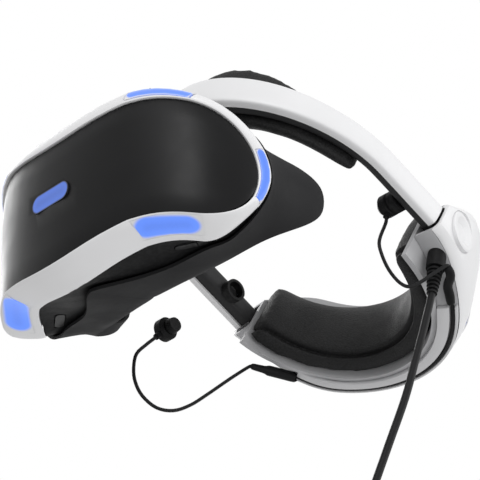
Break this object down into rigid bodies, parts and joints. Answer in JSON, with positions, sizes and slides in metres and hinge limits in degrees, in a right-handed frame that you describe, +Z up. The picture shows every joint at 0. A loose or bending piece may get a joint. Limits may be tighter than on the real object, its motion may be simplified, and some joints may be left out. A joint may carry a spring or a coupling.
{
  "type": "virtual reality headset",
  "caption": "Head-worn display visor with glowing light windows on a padded halo headband, with a fit dial at the back, parked and hanging earbuds and a coiled captive cable.",
  "frame": {"origin": "midway between the wearer's eyes, where the head sits in the headset", "axes": "+X to the wearer's left, +Y to the back of the head, +Z up"},
  "size_m": [0.1876, 0.2771, 0.3499],
  "materials": {
    "white_shell": "satin",
    "faceplate_charcoal": "satin",
    "black_housing": "matte",
    "shield_rubber": "matte",
    "light_window": "glowing diffuser",
    "lens_glass": "polished",
    "screen_glass": "polished",
    "board_green": "satin",
    "pad_leather": "grained",
    "liner_grey": "matte",
    "plate_grey": "satin",
    "key_black": "satin",
    "cord_black": "satin",
    "dial_grey": "satin"
  },
  "bodies": {
    "headband": {"band_shell": "white_shell", "band_liner": "liner_grey", "brow_bracket": "black_housing", "forehead_pad": "pad_leather", "strap_left": "liner_grey", "strap_right": "liner_grey", "bud_socket_left": "key_black", "bud_socket_right": "key_black", "earbud_left": "key_black", "left_cord": "cord_black"},
    "visor": {"faceplate": "faceplate_charcoal", "bezel": "white_shell", "front_light": "light_window", "top_lights": "light_window", "bottom_lights": "light_window", "side_lights": "light_window", "front_frame": "black_housing", "visor_housing": "black_housing", "light_shield": "shield_rubber", "lens_mask": "black_housing", "proximity_window": "screen_glass", "lens_barrel_left": "black_housing", "lens_barrel_right": "black_housing", "lens_left": "lens_glass", "lens_right": "lens_glass", "display_panel": "screen_glass", "display_tray": "black_housing", "main_board": "board_green", "slide_carriage": "black_housing"},
    "volume_rocker": {"volume_rocker": "key_black"},
    "power_key": {"power_key": "key_black"},
    "visor_release": {"visor_release": "key_black"},
    "rear": {"rear_shell": "white_shell", "rear_walls": "plate_grey", "side_caps": "white_shell", "rear_inner": "plate_grey", "rear_pad": "pad_leather", "rear_lights": "light_window", "dial_bearing": "black_housing", "under_lead": "cord_black", "lead_boots": "cord_black", "lead_rails": "plate_grey", "earbud_right": "key_black", "right_cord": "cord_black", "cable_gland": "cord_black", "main_cable": "cord_black", "cable_coil": "cord_black", "cable_tie": "shield_rubber", "cable_plug": "key_black"},
    "fit_dial": {"fit_dial": "dial_grey"},
    "release_button": {"release_button": "key_black"}
  },
  "joints": [
    {"name": "visor_slide", "type": "slide", "parent": "headband", "child": "visor", "axis": [0, -1, 0], "range_m": [0, 0.03]},
    {"name": "volume_rock", "type": "hinge", "parent": "visor", "child": "volume_rocker", "pos_m": [0.05025, -0.04316, -0.02938], "axis": [0.5918, -0.7942, -0.1381], "range_deg": [-2.5, 2.5], "stiffness_Nm_per_rad": 0.1},
    {"name": "power_press", "type": "slide", "parent": "visor", "child": "power_key", "axis": [0.0021, -0.1698, 0.9855], "range_m": [0, 0.0009], "stiffness_N_per_m": 400, "springref_m": -0.0005},
    {"name": "release_press", "type": "slide", "parent": "visor", "child": "visor_release", "axis": [-0.0021, -0.1698, 0.9855], "range_m": [0, 0.0009], "stiffness_N_per_m": 400, "springref_m": -0.0005},
    {"name": "rear_slide", "type": "slide", "parent": "headband", "child": "rear", "axis": [0, 0.8746, -0.4848], "range_m": [0, 0.024]},
    {"name": "dial_turn", "type": "hinge", "parent": "rear", "child": "fit_dial", "pos_m": [0, 0.18, 0.012], "axis": [0, 1, 0], "range_deg": [-5, 180]},
    {"name": "button_press", "type": "slide", "parent": "rear", "child": "release_button", "axis": [0, -1, 0], "range_m": [0, 0.002], "stiffness_N_per_m": 400, "springref_m": -0.0005}
  ],
  "couplings": [
    {"joint": "dial_turn", "follows": "rear_slide", "rad_per_m": 125}
  ]
}
